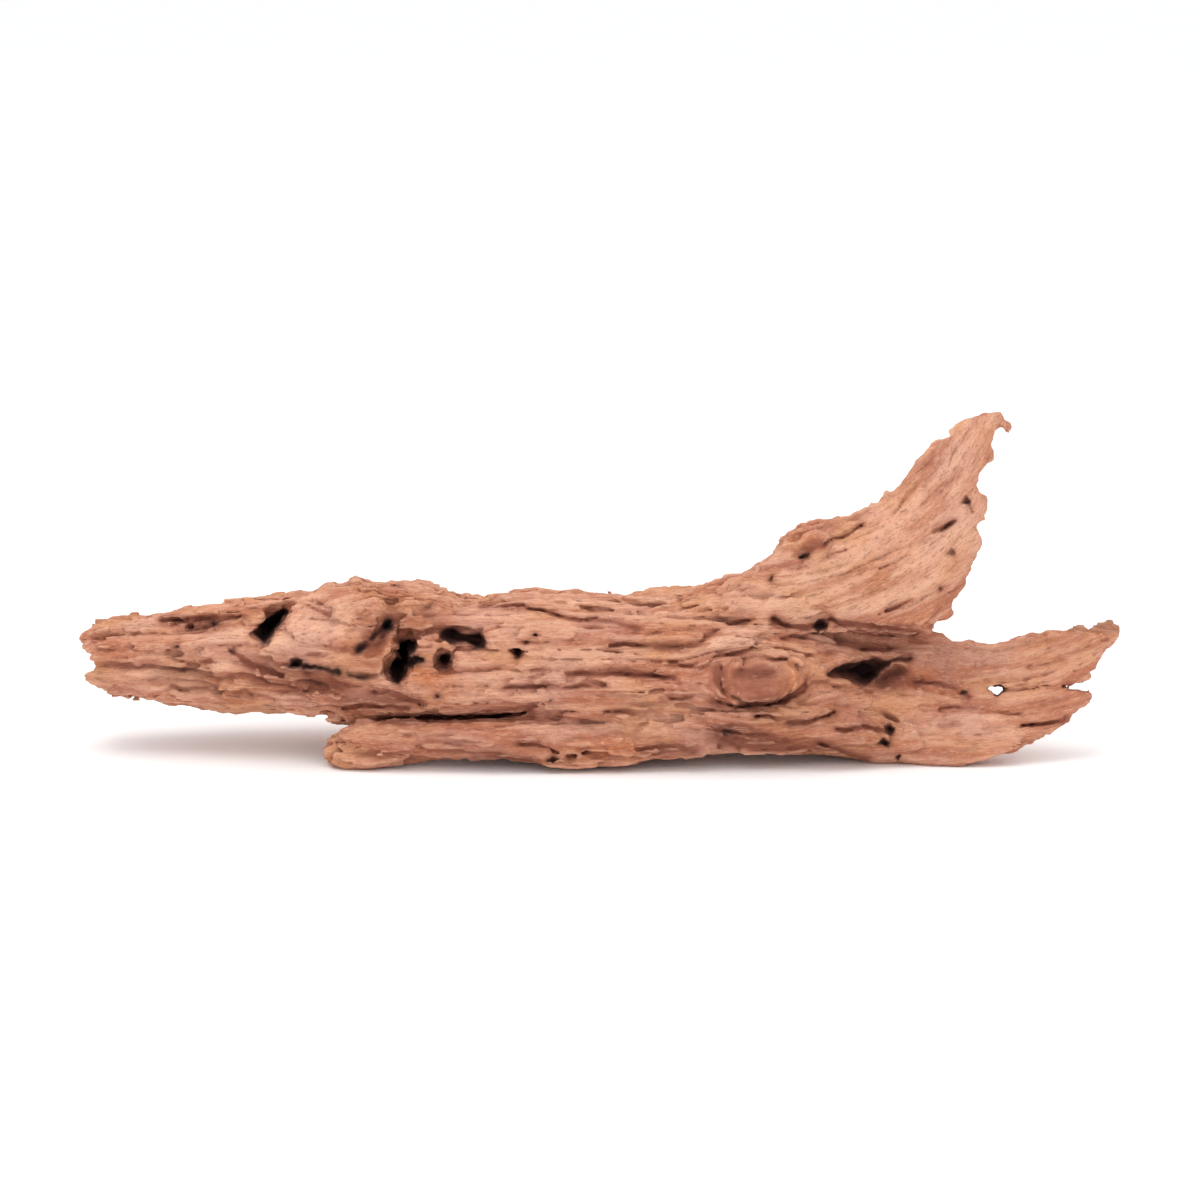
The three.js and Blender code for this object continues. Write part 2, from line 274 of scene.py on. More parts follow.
# --- The driftwood: cracks, ledges and hollows seen from the front --------------------------------
# They follow the real piece's own splits, lips and scoops, and are placed in the plane that it is seen
# in from the front: across, and up.
CRACKS = [  # depth, half width, and the line it runs along
    (4.5, 1.3, [(-168, 56.6), (-158, 57.2), (-146, 57.4), (-138, 58)]),
    (1.4, 1.0, [(-197, 47.5), (-188, 48.8), (-178, 49.4), (-168, 50)]),
    (1.6, 1.3, [(-194, 40), (-184, 40.3), (-172, 40), (-160, 41)]),
    (3.0, 1.3, [(-158.5, 40), (-154, 40.2), (-150, 41)]),
    (2.2, 0.9, [(-166, 45.5), (-159, 45), (-150, 47), (-143, 50)]),
    (3.0, 1.2, [(-142, 45), (-136, 41), (-129, 38.5), (-122, 35)]),
    (3.0, 1.3, [(-112, 62), (-108, 60), (-104, 58.5)]),
    (4.4, 1.7, [(-95, 44), (-91, 46.8), (-87, 50.6), (-82.4, 55)]),
    (3.2, 1.2, [(-87, 29.6), (-80, 29), (-74, 27), (-68, 24.5)]),
    (3.2, 1.0, [(-98, 23.2), (-90, 24), (-81, 24), (-73, 22.4)]),
    (6.5, 1.1, [(-84, 18.2), (-72, 19), (-62, 19.2), (-50, 19.4), (-38, 20.2), (-31, 20.8), (-27, 21.8)]),
    (3.6, 1.1, [
        (-45, 62), (-38, 62), (-30, 62.2), (-22, 60.6), (-15, 58), (-9, 57), (-2, 56.8), (6, 56),
        (14, 53.6),
    ]),
    (2.2, 0.9, [(-6, 60.8), (0, 60.2), (5, 60.4)]),
    (2.6, 1.0, [(-36, 31), (-24, 31.2), (-10, 31), (2, 31.6)]),
    (2.4, 0.9, [(2, 21.3), (7, 21.5), (13, 21)]),
    (4.2, 1.2, [
        (4, 46.6), (9, 47.4), (18, 46.8), (27, 46.4), (33, 46.5), (37, 47.4), (41, 50), (45, 52.4),
    ]),
    (2.4, 0.9, [(45, 52.4), (49, 54.6), (54, 55.8), (59, 57)]),
    (3.6, 1.1, [(-12, 36), (4, 36.4), (14, 36), (21, 35.2), (28, 34.4), (31.5, 32)]),
    (4.0, 1.2, [(27.5, 27.4), (31.5, 27), (36, 28.4), (40, 27), (45, 25.2), (51, 23.6)]),
    (2.6, 0.9, [
        (27, 40.3), (32, 38.8), (38, 38.1), (41.5, 39.6), (44, 42.6), (49, 43.3), (54, 44.4),
        (58, 46.4),
    ]),
    (4.6, 1.2, [(52, 23.2), (57, 24.4), (64, 24.6), (70, 25.6), (75, 28), (78, 31.4), (79.6, 34.4)]),
    (2.4, 0.9, [(46.5, 39), (46, 34), (47, 28.5)]),
    (2.4, 0.8, [(63.5, 42), (68, 41.4), (72, 42)]),
    (3.4, 1.1, [(60, 20.4), (65, 19.8), (69, 18), (74, 17.4), (80, 17.8), (85, 19.2), (90, 21.2)]),
    (2.6, 1.0, [(82, 33.4), (87, 33)]),
    (2.8, 1.0, [(89, 31.8), (96, 30.8), (104, 29.4)]),
    (6.0, 1.4, [
        (67, 57), (70, 55.4), (74, 54.2), (79, 54), (84.5, 54.8), (88, 57.4), (91, 55.9), (97, 55),
        (105, 53.8), (112, 52.6), (120, 52.4),
    ]),
    (3.0, 1.0, [(79.5, 43), (84, 43.6), (88, 43.6)]),
    (3.4, 0.9, [(100, 45.2), (106, 45.4), (111, 45.2)]),
    (2.6, 1.1, [(69, 50), (74, 50.6), (79, 50)]),
    (2.8, 1.0, [(121, 33), (128, 32.8), (134, 31.4), (139, 29.6), (141.5, 27.4)]),
    (2.2, 0.9, [(130, 22.6), (137, 23), (144, 22.6), (153, 21.4), (161, 21)]),
    (2.2, 0.8, [(155, 29.8), (163, 30.4), (171, 31.2), (181, 31)]),
    (4.0, 0.9, [(162, 16), (169, 16.6), (175, 17.4), (179, 19)]),
    (1.5, 0.8, [(164, 38.4), (170, 40), (178, 41.6)]),
    (3.2, 1.0, [(90, 15), (95, 14.6), (100, 15.8), (106, 15), (112, 13.8)]),
    (3.0, 1.0, [(84, 9.4), (90, 7.6), (96, 5.2), (103, 3.6)]),
    (2.6, 1.0, [(-31, 9.4), (-25, 9.2), (-20, 7.6), (-16, 5.4)]),
    (2.0, 0.8, [(-66, 10.6), (-60, 9.4), (-54, 8.6)]),
    (3.2, 1.3, [(-46, 2.6), (-38, 3.8), (-30, 3), (-24, 1.8)]),
    (3.0, 1.2, [(-12, 4), (-5, 6), (2, 5.2)]),
    (3.2, 1.2, [(14, 7), (22, 8.6), (30, 8), (36, 6)]),
    (4.8, 1.0, [(86, 86), (91, 88), (96, 90.4), (101, 93.2)]),
    (1.8, 0.9, [(76, 76.6), (83, 78.6), (88, 81.6), (95, 83.4)]),
    (5.0, 0.9, [(128, 90.8), (132, 92.4), (136.5, 95)]),
    (4.0, 0.8, [(110, 60.4), (114, 62), (119.6, 64.6)]),
    (2.4, 0.8, [(140.6, 103.5), (142.4, 98.4)]),
    (1.6, 0.8, [(128, 119), (124, 112), (118, 104), (112, 97)]),
    (1.6, 0.8, [(142, 130), (136, 121), (131, 111)]),
    (1.5, 0.8, [(107, 77), (114, 79), (120, 84)]),
]
SWELLINGS = [  # rise, the oval's middle, its half sizes, and how far it is turned
    (2.0, -103, 59, 19, 10, 6),
    (1.2, -97, 64, 8, 5, 6),
    (1.3, -93, 55, 6, 4, -30),
    (-1.0, -105, 56.5, 9, 1.4, -12),
    (-1.2, -108, 63, 6, 1.2, -30),
    (0.9, -116, 55, 6, 4, 10),
    (1.2, -90, 61, 6, 5, 0),
    (1.0, -112, 62, 5, 3, 20),
    (-1.2, -104, 54, 6, 2, -16),
    (-4.6, -81, 56, 3.4, 8, -8),
    (-4.2, -155, 53.6, 13, 3.4, 2),
    (2.0, -150, 48.6, 9, 1.7, 12),
    (2.2, -119, 48.4, 13, 2.6, 4),
    (-2.4, -150, 31.6, 5, 1.4, 0),
    (-4.2, -108, 32.4, 14, 3.8, -5),
    (-3.6, -87, 44.6, 7, 4.2, 38),
    (-2.6, -57, 37, 17, 7, -4),
    (1.8, -67, 47, 4.5, 3, -20),
    (-1.6, -124, 60, 7, 2, 30),
    (-1.2, -182, 40, 15, 2.2, 0),
    (-1.0, -184, 50, 12, 1.8, 4),
    (1.6, -68, 34, 8, 7, 0),
    (2.0, 36, 31, 5.5, 2.6, -14),
    (1.8, 52, 49.6, 9, 3.2, 6),
    (1.2, 0, 51, 22, 2.6, 0),
    (1.0, 2, 42, 26, 2.4, 0),
    (-4.6, 96, 48, 23, 4.4, -4),
    (-2.4, 113, 34, 8, 5, -20),
    (-3.0, 51, 11.6, 5, 3.6, -20),
    (2.0, 35, 9, 4, 3, 0),
    (-2.4, 111, 19, 4, 1.4, -30),
    (-1.8, 76, 59.6, 3.2, 1.4, -10),
    (-1.2, 136, 17, 3, 1.4, 0),
    (-1.4, 83, 63.5, 4, 3, 0),
    (1.4, 90, 80, 11, 2.2, 20),
    (-1.3, 115, 69, 8, 3.5, 20),
]
HOLES = [  # how fast it narrows, how dark the shade painted inside it is, and its outline
    (0.14, 1.0, [(-134, 52.2), (-129.6, 46.6), (-127.6, 47.4), (-119, 60.4), (-121.4, 62)]),
    (0.30, 0.95, [(-151, 55.4), (-148.6, 57), (-145.6, 56), (-147.6, 54)]),
    (0.45, 0.8, [(-165, 46.8), (-162, 47.4), (-160.6, 46), (-163.4, 45.2)]),
    (0.45, 0.8, [(-165, 42.6), (-162, 43), (-161.6, 41.6), (-164.6, 41.4)]),
    (0.40, 0.85, [(-143, 45.6), (-140.6, 46), (-140.4, 44.2), (-142.6, 44)]),
    (0.50, 0.75, [(-140.4, 28.4), (-137.6, 28.2), (-138, 26.6), (-140, 26.8)]),
    (0.50, 0.75, [(-135, 28.2), (-132.6, 28), (-133, 26.6), (-135, 26.8)]),
    (0.30, 0.95, [
        (-120.4, 38.4), (-119, 41.8), (-116.4, 43), (-114, 41.6), (-113.4, 38.8), (-116.5, 37.4),
    ]),
    (0.30, 0.95, [(-103, 37.2), (-100.6, 38), (-98.6, 35.8), (-100.4, 34.2), (-102.6, 35)]),
    (0.50, 0.75, [(-94.4, 35.6), (-92, 36), (-91.4, 34.4), (-94, 34.2)]),
    (0.20, 1.0, [(-85, 53), (-84, 56.4), (-81, 57.6), (-79, 55.6), (-79.4, 52.4), (-82.4, 51.8)]),
    (0.30, 0.95, [(-89.6, 49.2), (-87.6, 52), (-85, 52.8), (-84.8, 50.8), (-87, 48.4)]),
    (0.30, 0.95, [(-94.6, 44.4), (-93, 47.8), (-90, 48.2), (-89.4, 45.6), (-91.6, 43.6)]),
    (0.16, 1.0, [
        (-77.8, 48.6), (-73.4, 50.4), (-70.2, 48.4), (-70.4, 45), (-72.4, 43.4), (-68, 42.4), (-66.4, 40.6),
        (-70, 39.8), (-74, 38), (-75, 34.6), (-77, 31.4), (-80, 32.8), (-82, 38), (-80.2, 41), (-77, 42.4),
        (-78, 45.4),
    ]),
    (0.20, 0.95, [
        (-61.6, 50.6), (-60, 53), (-57, 53.4), (-52, 51.8), (-46, 51.8), (-44, 49), (-44.6, 45.6),
        (-48, 45), (-52, 47.2), (-56, 47.4), (-60, 48.6),
    ]),
    (0.22, 0.9, [
        (-63, 42.2), (-61, 44.2), (-58.6, 44.2), (-56.6, 42), (-56.8, 39.6), (-59, 37.8),
        (-61.6, 38), (-63, 40),
    ]),
    (0.30, 0.95, [(-33.6, 44.6), (-32, 45.8), (-30.4, 44.8), (-30.6, 42.8), (-32.4, 42)]),
    (0.50, 0.75, [(-29.2, 48.8), (-28, 49.8), (-27, 48.6), (-28, 47.4)]),
    (0.50, 0.75, [(-26, 50.6), (-25, 51.8), (-23.8, 50.6), (-25, 49.4)]),
    (0.55, 0.7, [(-67.6, 61.6), (-66, 63.2), (-64.4, 62), (-65.6, 60.2)]),
    (0.55, 0.7, [(-63.6, 27.6), (-62.4, 28.6), (-61.4, 27.4), (-62.4, 26.4)]),
    (0.55, 0.7, [(-20.6, 26.6), (-18, 27), (-16.8, 26), (-19, 25.4)]),
    (0.30, 0.95, [(82, 54.2), (83.6, 57.4), (86.4, 57.4), (88.4, 55.4), (86.4, 53), (83.6, 52.6)]),
    (0.30, 0.95, [(106.4, 9.8), (109, 12), (112, 9.6), (110.6, 7)]),
    (0.40, 0.85, [(113.4, 4.6), (115, 6), (116, 4.4), (114.6, 3.2)]),
    (0.40, 0.9, [(108.4, 16), (111, 17.8), (113.6, 15.6), (112.4, 12.4), (110.4, 13)]),
    (0.40, 0.85, [(-20, 3), (-18, 4.8), (-15.6, 3.8), (-17.4, 2.2)]),
    (0.35, 0.95, [(75.6, 80.6), (77.6, 83.6), (81, 83.2), (80.4, 80.8), (78, 79.6)]),
    (0.50, 0.85, [(129.6, 91), (133.6, 94.2), (136.4, 95), (135, 92.8), (131.6, 90.6)]),
    (0.50, 0.75, [(139.4, 101.8), (140.4, 104.6), (142, 102.4), (141.4, 101)]),
    (0.60, 0.65, [(64.6, 72), (65.8, 73.4), (67.2, 72.4), (66, 71.4)]),
    (0.60, 0.65, [(129.6, 69), (130.6, 70), (131.6, 69), (130.6, 68)]),
    (0.60, 0.65, [(46.6, 12), (46.4, 15.6), (50, 16), (51, 13), (49, 11.4)]),
    (0.60, 0.65, [(133.6, 82.4), (135.4, 83.4), (137, 82.4), (135.2, 81.4)]),
    (0.30, 0.95, [
        (-115.4, 39.8), (-106, 39.6), (-101.4, 37.8), (-99.4, 36.2), (-102, 35.4), (-106.4, 37),
        (-114.6, 37.2),
    ]),
    (0.30, 0.9, [(-97, 36.6), (-92, 36.4), (-88, 34.8), (-89, 33.4), (-94, 34.2), (-97, 35.4)]),
    (0.32, 0.8, [
        (86, 36.4), (92, 39), (97, 41), (104, 41.8), (112, 42.2), (119, 42.8), (119, 41.6), (112, 40),
        (109, 37.6), (107, 33.8), (104, 31.8), (100, 31.4), (97, 32.6), (94, 34.8), (90, 35.2),
    ]),
    (0.70, 0.35, [(107, 39), (114, 40), (118, 37.6), (116, 33.4), (109, 30.6), (103, 30.6), (105, 35)]),
    (0.40, 0.85, [(137.4, 28.4), (138.6, 30.6), (140.8, 29.8), (140.2, 27.4)]),
    (0.0, 0.3, [(148, 31.3), (155.6, 31.2), (152.6, 26.8)]),
    (0.0, 0.3, [(179, 30), (189, 29.8), (193, 31.2), (189, 33), (179.4, 32.4)]),
]
TONES_AND_SHADING = [  # how much paler the wood is, and an oval as for a swelling; partly the wood's own tone, such as the darker knot, partly painted light on ledges and bumps and painted shade in hollows, under ledges and along the underside
    (0.5, -162, 44, 34, 13, 4),
    (-0.6, 62, 34, 17, 9.5, 0),
    (-1.3, 61.5, 37, 5.5, 1.8, 8),
    (-1.1, 53.6, 36.4, 2.6, 1.6, 0),
    (-0.9, 46.6, 35, 1.7, 6, 0),
    (-1.1, 80.4, 85, 4.6, 3.2, 20),
    (-1.2, 54, 12.4, 11, 3.6, -8),
    (-0.8, 72, 8, 22, 3, -4),
    (-0.9, -42, 2, 22, 2, 0),
    (-0.9, 24, 6.6, 14, 1.8, 4),
    (1.1, 76.4, 33.4, 2, 4.6, 0),
    (1.0, 8, 7, 8, 2.2, 10),
    (-0.3, 96, 48, 24, 5, -4),
    (-1.0, 103, 53.2, 18, 1.3, -4),
    (-0.7, 112, 34, 11, 6, -10),
    (-0.6, -155, 53.6, 14, 3.6, 2),
    (-0.8, -106, 31, 15, 4.5, -6),
    (-0.6, -79, 57, 4.5, 9, -8),
    (-0.45, -66, 56, 12, 6, 0),
    (-0.4, -84, 43, 8, 6, 30),
    (-0.55, -88, 25, 18, 3.4, 0),
    (-0.4, -182, 40, 15, 2.2, 0),
    (-0.5, -155, 42, 10, 2.4, 0),
    (-0.5, -135, 40, 11, 3.5, -20),
    (-0.25, -60, 9, 40, 9, 0),
    (-0.3, 130, 40, 14, 6, 20),
    (-0.35, 60, 12, 30, 6, 0),
    (0.5, -106, 58, 15, 9, 0),
    (0.6, -118, 48.5, 14, 3, 4),
    (0.6, -150, 48.6, 9, 2, 12),
    (0.4, -145, 61, 20, 3, 10),
    (1.3, 52, 50, 11, 3.4, 4),
    (1.5, 36, 31, 6, 3, -14),
    (0.35, 0, 60, 40, 5, 0),
    (0.3, 0, 43, 32, 4, 0),
    (0.8, 96, 72, 40, 18, 30),
    (0.7, 130, 105, 14, 32, -20),
    (0.35, 160, 24, 26, 10, 16),
    (-0.3, 100, 20, 22, 8, 0),
]
ORANGE_OVALS = [  # how much more orange the wood is, mostly in the lee of the hollows
    (1.3, -86.5, 45.5, 9, 5, 45),
    (0.9, -92, 21.6, 15, 2.8, 0),
    (1.1, -68, 36.6, 8, 5, -10),
    (0.9, 76, 33.4, 2.6, 5, 0),
    (0.8, 6, 6, 10, 2.6, 6),
    (0.8, -60, 47, 6, 3, 0),
    (0.6, -59, 33, 8, 5, 0),
    (1.0, -108, 33.6, 13, 3.2, -6),
    (0.6, -168, 50, 12, 4, 0),
    (0.6, -140, 62, 14, 3.4, 14),
    (0.5, -186, 44, 9, 8, 0),
    (1.1, 117, 36, 11, 5, -10),
    (0.6, 70, 48.6, 8, 3, 0),
    (0.5, -42, 16, 20, 4, 4),
    (0.6, 0, 8, 14, 5, 0),
    (0.5, 66, 12, 14, 4, 0),
    (1.0, 80.4, 85, 4.8, 3.4, 20),
    (0.4, 112, 84, 26, 12, 36),
    (0.5, 146, 116, 6, 14, -10),
    (0.5, 176, 26, 16, 5, 10),
]


def line_distance(u, v, points):
    """How far each place is from the nearest point of a line."""
    nearest = np.full(len(u), 1e9, np.float32)
    for (u0, v0), (u1, v1) in zip(points, points[1:]):
        du, dv = u1 - u0, v1 - v0
        share = np.clip(((u - u0) * du + (v - v0) * dv) / (du * du + dv * dv), 0, 1)
        nearest = np.minimum(nearest, np.hypot(u - u0 - share * du, v - v0 - share * dv))
    return nearest


def inside_outline(u, v, points):
    """Whether each place lies inside a closed outline."""
    crossings = np.zeros(len(u), bool)
    for (u0, v0), (u1, v1) in zip(points, points[1:] + points[:1]):
        straddles = (v0 > v) != (v1 > v)
        crossings ^= straddles & (u < u0 + (v - v0) / (v1 - v0 if v1 != v0 else 1) * (u1 - u0))
    return crossings


def close_to(u, v, points, reach):
    """Whether each place is within reach of the box round the points."""
    corners = np.array(points)
    (u0, v0), (u1, v1) = corners.min(0) - reach, corners.max(0) + reach
    return (u > u0) & (u < u1) & (v > v0) & (v < v1)


def within(u, v, u0, v0, half_u, half_v, turn):
    """Where each place lies in a turned oval: along it and across it, with 1 at the rim."""
    lean = math.radians(turn)
    level = (u - u0) * math.cos(lean) + (v - v0) * math.sin(lean)
    upright = (v - v0) * math.cos(lean) - (u - u0) * math.sin(lean)
    return level / half_u, upright / half_v


seen = np.nonzero(front > 0.05)[0]
u, v = seen_from_front(x[seen], y[seen], z[seen])
jitter = np.stack([x[seen], y[seen], z[seen]], axis=1)
u = u + 0.9 * patchy(jitter / 5, 21) + 0.35 * patchy(jitter / 1.8, 22)
v = v + 0.6 * patchy(jitter / 6, 23) + 0.35 * patchy(jitter / 1.8, 24)
thick = 1.0 + 0.6 * patchy(jitter / (6, 4, 4), 25)
ragged = 0.8 + 0.7 * patchy(jitter / (8, 5, 5), 27)
carved = np.zeros(len(seen), np.float32)
for crack_depth, half_width, points in CRACKS:
    near = np.nonzero(close_to(u, v, points, 2.5 * half_width))[0]
    away = line_distance(u[near], v[near], points) / (half_width * thick[near])
    opened = 0.9 * crack_depth * ragged[near] * np.clip(1 - away, 0, 1) ** 1.1
    carved[near] = np.maximum(carved[near], opened)
for rise, *place in SWELLINGS:
    level, upright = within(u, v, *place)
    carved -= rise * np.exp(-(level**2) - upright**2)

# The knot stands out as a flat worn face with a groove round it.
knot_ring = oval(u, v, KNOT)
growth = np.clip(1 - knot_ring, 0, 1)
carved -= 0.9 * smooth_step(0, 0.35, growth)
carved += 0.9 * np.exp(-(((knot_ring - 0.93) / 0.07) ** 2))
carved += 1.1 * patchy(jitter / (6, 4, 3), 26) * smooth_step(0, 0.2, growth)
cut[seen] *= 1 - 0.7 * smooth_step(0.1, 0.45, growth) * front[seen]
cut[seen] += carved * front[seen]

volume = blank_depth.copy()
volume[skin] += cut
del swells, grooves, veins, steps, flakes, splits, fibres, crumbs, chips

# The deeper holes go straight in from the front, and narrow as they go.
HOLE_REACH = 26.0  # no hole goes deeper than this


def raggedness(places, seed):
    """How far a hole's rim strays from its outline."""
    return 1.0 * patchy(places / 4, seed) + 0.5 * patchy(places / 1.7, seed + 1)


places = np.indices(volume.shape, dtype=np.int16)
first_wood = np.argmax(blank_depth < 0, axis=1)
surface_y = start[1] + VOXEL * first_wood
surface_y[(blank_depth >= 0).all(axis=1)] = highest[1]
for taper, gloom, points in HOLES:
    corners = np.array(points)
    (u0, v0), (u1, v1) = corners.min(0) - 3, corners.max(0) + 3
    i0 = max(0, int((min(u0 * 0.97, u0 * 1.05) - 2 - start[0]) / VOXEL))
    i1 = int((max(u1 * 0.97, u1 * 1.05) + 4 - start[0]) / VOXEL)
    k0 = max(0, int((v0 - 22 - start[2]) / VOXEL))
    k1 = int((v1 + 12 - start[2]) / VOXEL)
    near = tuple(axis[i0:i1, :, k0:k1].ravel() for axis in places)
    hx, hy, hz = (start[k] + VOXEL * near[k].astype(np.float32) for k in range(3))
    sunk = hy - surface_y[near[0], near[2]]
    keep = (sunk < HOLE_REACH) & (sunk > -8)
    near = tuple(axis[keep] for axis in near)
    hx, hy, hz, sunk = hx[keep], hy[keep], hz[keep], sunk[keep]
    hu, hv = seen_from_front(hx, hy, hz)
    keep = close_to(hu, hv, points, 3)
    near = tuple(axis[keep] for axis in near)
    hx, hy, hz, sunk, hu, hv = (a[keep] for a in (hx, hy, hz, sunk, hu, hv))
    shake = np.stack([hx, hy, hz], axis=1)
    hu = hu + raggedness(shake, 31)
    hv = hv + raggedness(shake, 33)
    rim = line_distance(hu, hv, points + points[:1])
    inward = np.where(inside_outline(hu, hv, points), rim, -rim)
    room = inward - taper * np.maximum(sunk, 0)
    volume[near] = np.maximum(volume[near], room)
del places

# The blank's own box bounds the finished piece, and the feet stay flat on the ground.
for axis in range(3):
    line = start[axis] + VOXEL * np.arange(size[axis], dtype=np.float32)
    outside = np.maximum(lowest[axis] - line, line - highest[axis])
    shape = [1, 1, 1]
    shape[axis] = -1
    volume = np.maximum(volume, outside.reshape(shape))

carved_set = openvdb.FloatGrid(BAND * VOXEL)
carved_set.transform = spread
carved_set.copyFromArray(volume.astype(np.float32))
carved_set.gridClass = openvdb.GridClass.LEVEL_SET
points, quads = carved_set.convertToQuads(isovalue=0.0)

# The volume's skin becomes the piece's surface: loose crumbs are dropped, and the mesh is thinned.
TRIANGLES = 190000

surface = bpy.data.meshes.new("driftwood_surface")
surface.from_pydata(points / 1000, [], quads)
wood.data = surface
bpy.context.view_layer.objects.active = wood
heart = int(np.argmin(np.abs(points - blank[0]).sum(1)))
bpy.ops.object.mode_set(mode="EDIT")
bpy.ops.mesh.select_mode(type="VERT")
bpy.ops.mesh.select_all(action="DESELECT")
bpy.ops.object.mode_set(mode="OBJECT")
surface.vertices[heart].select = True
bpy.ops.object.mode_set(mode="EDIT")
bpy.ops.mesh.select_linked()
bpy.ops.mesh.select_all(action="INVERT")
bpy.ops.mesh.delete(type="VERT")
bpy.ops.mesh.select_all(action="SELECT")
bpy.ops.mesh.normals_make_consistent(inside=False)
bpy.ops.object.mode_set(mode="OBJECT")
thinned = wood.modifiers.new("thinned", "DECIMATE")
thinned.ratio = TRIANGLES / (2 * len(surface.polygons))
bpy.ops.object.modifier_apply(modifier=thinned.name)
wood.data.vertices.foreach_set("co", (np.clip(read_points(wood.data), lowest, highest) / 1000).ravel())
bpy.ops.object.shade_smooth()

# --- The driftwood: what the finish needs to know -------------------------------------------------
# Every point of the surface carries its place in the grain, how far it was carved in, how proud or
# sunk it stands among its neighbours, the tone of the wood there together with painted light on ledges and
# painted shade in hollows and cracks, how orange it is, and how far a hole's painted shade darkens it.


def softened(values, reach):
    """The mean over a box that reaches so many voxels each way."""
    width = 2 * reach + 1
    for axis in range(3):
        ends = [(reach + 1, reach) if k == axis else (0, 0) for k in range(3)]
        total = np.cumsum(np.pad(values, ends, mode="edge"), axis, dtype=np.float64)
        first, last = [slice(None)] * 3, [slice(None)] * 3
        first[axis], last[axis] = slice(0, -width), slice(width, None)
        values = ((total[tuple(last)] - total[tuple(first)]) / width).astype(np.float32)
    return values


def sampled(values, places):
    """Values of the volume between its voxels."""
    low = np.clip(np.floor(places).astype(int), 0, size - 2)
    near = places - low
    total = np.zeros(len(places), np.float32)
    for corner in np.ndindex(2, 2, 2):
        weight = np.prod(np.where(corner, near, 1 - near), axis=1)
        total += weight * values[tuple((low + corner).T)]
    return total


final = read_points(wood.data)
normals = read_list(wood.data.vertices, "normal", np.float32, 3)
places = (final - start) / VOXEL
fx, fy, fz = final.T
towards = normals[:, 2] * math.sin(VIEW_TILT) - normals[:, 1] * math.cos(VIEW_TILT)
in_front = np.clip(2 * towards + 0.6, 0, 1)
grain_along, grain_across = grain_of(fx, fy, fz, in_front)
view_u, view_v = seen_from_front(fx, fy, fz)
blurred_u = view_u + 2.0 * patchy(final / 9, 43) + 0.8 * patchy(final / 3, 44)
blurred_v = view_v + 1.2 * patchy(final / 9, 45) + 0.6 * patchy(final / 3, 46)


def painted(ovals):
    """The sum of the ovals' amounts where each point is seen from the front."""
    total = np.zeros(len(final), np.float32)
    for amount, *place in ovals:
        level, upright = within(blurred_u, blurred_v, *place)
        total += amount * np.exp(-((level**2 + upright**2) ** 1.5)) * in_front
    return total


tone_and_shading = painted(TONES_AND_SHADING)
orange_share = painted(ORANGE_OVALS)
# Painted shade along the cracks, darker the deeper the crack, and round the rims of the holes; it darkens
# the tone below.
recess_shade = np.zeros(len(final), np.float32)
hole_shade = np.zeros(len(final), np.float32)
for crack_depth, half_width, points in CRACKS:
    near = np.nonzero(close_to(view_u, view_v, points, 6) & (in_front > 0))[0]
    away = line_distance(view_u[near], view_v[near], points)
    recess_shade[near] = np.maximum(recess_shade[near], 0.3 * crack_depth * np.exp(-((away / (1.9 * half_width)) ** 2)))
ragged_u = view_u + raggedness(final, 31)
ragged_v = view_v + raggedness(final, 33)
# Painted shade inside the holes: black towards the middle of each outline, as dark as the hole's entry
# gives.
for taper, gloom, points in HOLES:
    near = np.nonzero(close_to(ragged_u, ragged_v, points, 4) & (fy < 5))[0]
    rim = line_distance(ragged_u[near], ragged_v[near], points + points[:1])
    inward = np.where(inside_outline(ragged_u[near], ragged_v[near], points), rim, -rim)
    hole_shade[near] = np.maximum(hole_shade[near], smooth_step(-0.8, 0.9, inward) * gloom)
    recess_shade[near] = np.maximum(recess_shade[near], 0.7 * smooth_step(-3, 0, inward))
tone_and_shading -= recess_shade * in_front * (0.75 + 0.5 * patchy(final / 5, 42))
elsewhere = 1 - in_front
tone_and_shading += 0.8 * elsewhere * patchy(final / (42, 24, 20), 41)
orange_share += 0.5 * elsewhere * np.clip(patchy(final / (30, 18, 14), 47), 0, 1)
clipped = np.clip(volume, -4, 4)


def give(name, values):
    """Keeps a value for every point of the surface."""
    kind, field = ("FLOAT_VECTOR", "vector") if values.ndim == 2 else ("FLOAT", "value")
    made = wood.data.attributes.new(name, kind, "POINT")
    made.data.foreach_set(field, np.ascontiguousarray(values, np.float32).ravel())


give("grain", np.stack([grain_along, grain_across, fy], axis=1))
# proud, sunk and carved carry the painted light and shade of ridges, hollows and deep cuts.
give("proud", sampled(softened(clipped, 2), places))
give("sunk", -sampled(softened(clipped, 6), places))
give("carved", -sampled(blank_depth, places))
give("tone_and_shading", tone_and_shading)
give("hole_shade", hole_shade)
give("orange_share", orange_share)

# --- The driftwood: its map -----------------------------------------------------------------------
# The surface is laid out flat in sheets, each seen square on from one of six sides. A sheet holds one
# layer of the surface only, and all of them share one square at one scale.
VIEWS = [  # the way to the viewer, then the map's two directions
    ((0, -1, 0), (1, 0, 0), (0, 0, 1)),
    ((0, 1, 0), (-1, 0, 0), (0, 0, 1)),
    ((0, 0, 1), (1, 0, 0), (0, 1, 0)),
    ((0, 0, -1), (1, 0, 0), (0, -1, 0)),
    ((1, 0, 0), (0, 1, 0), (0, 0, 1)),
    ((-1, 0, 0), (0, -1, 0), (0, 0, 1)),
]
SIDES = len(VIEWS)
MAP_CELLS = 1024
LAYER_GAP = 4.0  # a face this far behind another in the same view belongs to a sheet of its own
FEWEST_FACES = 14  # a smaller sheet joins the one beside it
FINEST_CELL = 0.42  # millimetres that one cell of the map covers, unless the sheets need it coarser
GRID_CELL, GRID_WIDTH = 1.2, 1024  # the grid that finds one face behind another


